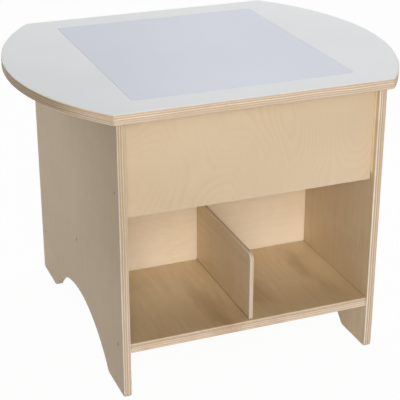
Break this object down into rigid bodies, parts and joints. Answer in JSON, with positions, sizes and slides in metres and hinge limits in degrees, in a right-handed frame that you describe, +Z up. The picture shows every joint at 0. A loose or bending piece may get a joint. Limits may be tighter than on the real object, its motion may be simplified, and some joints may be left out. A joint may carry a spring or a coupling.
{
  "type": "kids table with storage",
  "caption": "Low plywood activity table with bowed ends, a flush lift-out light panel lit from a box below, and open shelf bays with low dividers on two sides.",
  "frame": {"origin": "on the floor, under the centre of the table top", "axes": "+X along the long side of the top, to the right of a person who faces the front; +Y from the front to the rear, where the switch and the power socket are; +Z up"},
  "size_m": [0.7458, 0.6, 0.559],
  "materials": {
    "birch_plywood": "clear lacquer over birch veneer, plies visible on the edges",
    "pale_hardwood": "planed, unfinished",
    "white_faced_board": "white melamine face, lacquered edges",
    "white_laminate": "suede",
    "opal_acrylic": "translucent opal, satin",
    "zinc_plated_steel": "bright zinc plated",
    "plate_steel": "pale grey powder coat",
    "channel_aluminium": "clear anodised",
    "opal_cover": "opal",
    "circuit_board": "white solder mask",
    "led_phosphor": "phosphor in a white package",
    "white_plastic": "satin",
    "lead_jacket": "satin",
    "black_plastic": "satin",
    "black_rubber": "matt",
    "tinned_brass": "bright"
  },
  "bodies": {
    "table": {"tabletop_core": "birch_plywood", "side_panel_left": "birch_plywood", "side_panel_right": "birch_plywood", "front_apron": "birch_plywood", "rear_apron": "birch_plywood", "bottom_shelf": "birch_plywood", "centre_panel": "birch_plywood", "front_divider": "birch_plywood", "rear_divider": "birch_plywood", "tabletop_laminate": "white_laminate", "light_box_floor": "white_faced_board", "floor_cleat_left": "pale_hardwood", "floor_cleat_right": "pale_hardwood", "top_cleat_left": "pale_hardwood", "top_cleat_right": "pale_hardwood", "top_cleat_front": "pale_hardwood", "top_cleat_rear": "pale_hardwood", "wood_dowels": "pale_hardwood", "joint_bolts": "zinc_plated_steel", "cleat_screws": "zinc_plated_steel", "tabletop_screws": "zinc_plated_steel", "box_floor_screws": "zinc_plated_steel", "shelf_screws": "zinc_plated_steel", "led_clip_screws": "zinc_plated_steel", "plate_screws": "zinc_plated_steel", "socket_nut": "zinc_plated_steel", "led_chips": "led_phosphor", "led_end_caps": "white_plastic", "led_cable_caps": "white_plastic", "led_clips": "white_plastic", "lead_saddles": "white_plastic", "link_leads": "lead_jacket", "supply_lead": "lead_jacket", "inlet_lead": "lead_jacket", "control_plate": "plate_steel", "rocker_housing": "black_plastic", "power_socket": "black_plastic", "switch_boot": "black_rubber", "socket_boot": "black_rubber", "switch_terminals": "tinned_brass", "socket_pin": "tinned_brass", "socket_tabs": "tinned_brass", "led_channel_1": "channel_aluminium", "led_strip_1": "circuit_board", "led_cover_1": "opal_cover", "led_channel_2": "channel_aluminium", "led_strip_2": "circuit_board", "led_cover_2": "opal_cover", "led_channel_3": "channel_aluminium", "led_strip_3": "circuit_board", "led_cover_3": "opal_cover", "led_channel_4": "channel_aluminium", "led_strip_4": "circuit_board", "led_cover_4": "opal_cover"},
    "diffuser": {"light_diffuser": "opal_acrylic"},
    "rocker": {"rocker_button": "black_plastic"}
  },
  "joints": [
    {"name": "diffuser_lift", "type": "slide", "parent": "table", "child": "diffuser", "axis": [0, 0, 1], "range_m": [0, 0.06]},
    {"name": "rocker_press", "type": "hinge", "parent": "table", "child": "rocker", "pos_m": [0.165, 0.272, 0.431], "axis": [1, 0, 0], "range_deg": [0, 16]}
  ]
}
